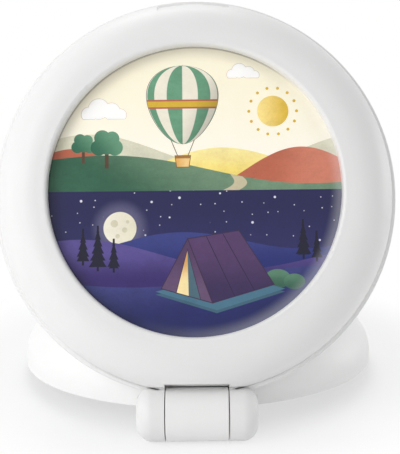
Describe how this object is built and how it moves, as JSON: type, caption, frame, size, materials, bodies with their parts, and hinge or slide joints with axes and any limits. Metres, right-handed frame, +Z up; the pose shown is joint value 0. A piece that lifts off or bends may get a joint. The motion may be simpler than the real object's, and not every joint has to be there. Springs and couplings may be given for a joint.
{
  "type": "folding children's alarm clock with night light",
  "caption": "Round clock with a backlit day and night picture in a thick rounded rim, hinged to a round cover that folds over the face or serves as its stand.",
  "frame": {"origin": "middle of the whole clock's footprint, on the surface it stands on, with the cover open as the stand", "axes": "+X to the right of someone who looks at the picture, +Y away from them along the open cover, +Z up"},
  "size_m": [0.141, 0.1556, 0.1469],
  "materials": {
    "bezel_white": "satin moulded plastic",
    "shell_white": "satin moulded plastic",
    "cover_white": "satin moulded plastic",
    "picture_print": "matt printed translucent panel",
    "opal_plastic": "matt",
    "inner_white": "matt",
    "lamp_warm": "clear moulded",
    "lamp_cool": "clear moulded",
    "circuit_board": "solder resist",
    "component_black": "matt moulded",
    "screw_steel": "zinc plated",
    "pin_steel": "drawn",
    "cell_metal": "plain sleeve",
    "contact_metal": "nickel plated",
    "lead_red": "smooth insulation",
    "display_clear": "clear polished",
    "display_grey": "smooth",
    "ribbon_grey": "matt",
    "button_yellow": "matt moulded",
    "button_grey": "matt moulded",
    "knob_grey": "matt moulded"
  },
  "bodies": {
    "clock": {"front_bezel": "bezel_white", "picture_panel": "picture_print", "diffuser_plate": "opal_plastic", "light_box": "inner_white", "day_lamps": "lamp_warm", "night_lamps": "lamp_cool", "main_board": "circuit_board", "board_components": "component_black", "rear_shell": "shell_white", "shell_screws": "screw_steel", "battery_door": "shell_white", "battery_door_screw": "screw_steel", "battery_cells": "cell_metal", "contact_plates": "contact_metal", "contact_springs": "contact_metal", "battery_leads": "lead_red", "control_board": "circuit_board", "tact_switches": "component_black", "slide_switches": "contact_metal", "display_window": "display_clear", "display_module": "display_grey", "board_ribbon": "ribbon_grey", "board_screws": "screw_steel", "speaker": "component_black", "speaker_leads": "lead_red", "hinge_pin": "pin_steel", "hinge_plugs": "shell_white"},
    "stand_cover": {"stand_cover": "cover_white"},
    "light_button": {"light_button": "button_yellow"},
    "hour_button": {"hour_button": "button_grey"},
    "minute_button": {"minute_button": "button_grey"},
    "alarm_button": {"alarm_button": "button_grey"},
    "clock_button": {"clock_button": "button_grey"},
    "alarm_slider": {"alarm_slider": "knob_grey"},
    "volume_slider": {"volume_slider": "knob_grey"}
  },
  "joints": [
    {"name": "cover_fold", "type": "hinge", "parent": "clock", "child": "stand_cover", "pos_m": [0, -0.06856, 0.0091], "axis": [-1, 0, 0], "range_deg": [0, 285.88]},
    {"name": "light_press", "type": "slide", "parent": "clock", "child": "light_button", "axis": [0, -0.9426, 0.3338], "range_m": [0, 0.0004], "stiffness_N_per_m": 300},
    {"name": "hour_press", "type": "slide", "parent": "clock", "child": "hour_button", "axis": [0, -0.9426, 0.3338], "range_m": [0, 0.0004], "stiffness_N_per_m": 300},
    {"name": "minute_press", "type": "slide", "parent": "clock", "child": "minute_button", "axis": [0, -0.9426, 0.3338], "range_m": [0, 0.0004], "stiffness_N_per_m": 300},
    {"name": "alarm_press", "type": "slide", "parent": "clock", "child": "alarm_button", "axis": [0, -0.9426, 0.3338], "range_m": [0, 0.0004], "stiffness_N_per_m": 300},
    {"name": "clock_press", "type": "slide", "parent": "clock", "child": "clock_button", "axis": [0, -0.9426, 0.3338], "range_m": [0, 0.0004], "stiffness_N_per_m": 300},
    {"name": "alarm_slide", "type": "slide", "parent": "clock", "child": "alarm_slider", "axis": [1, 0, 0], "range_m": [0, 0.004]},
    {"name": "volume_slide", "type": "slide", "parent": "clock", "child": "volume_slider", "axis": [1, 0, 0], "range_m": [0, 0.004]}
  ]
}
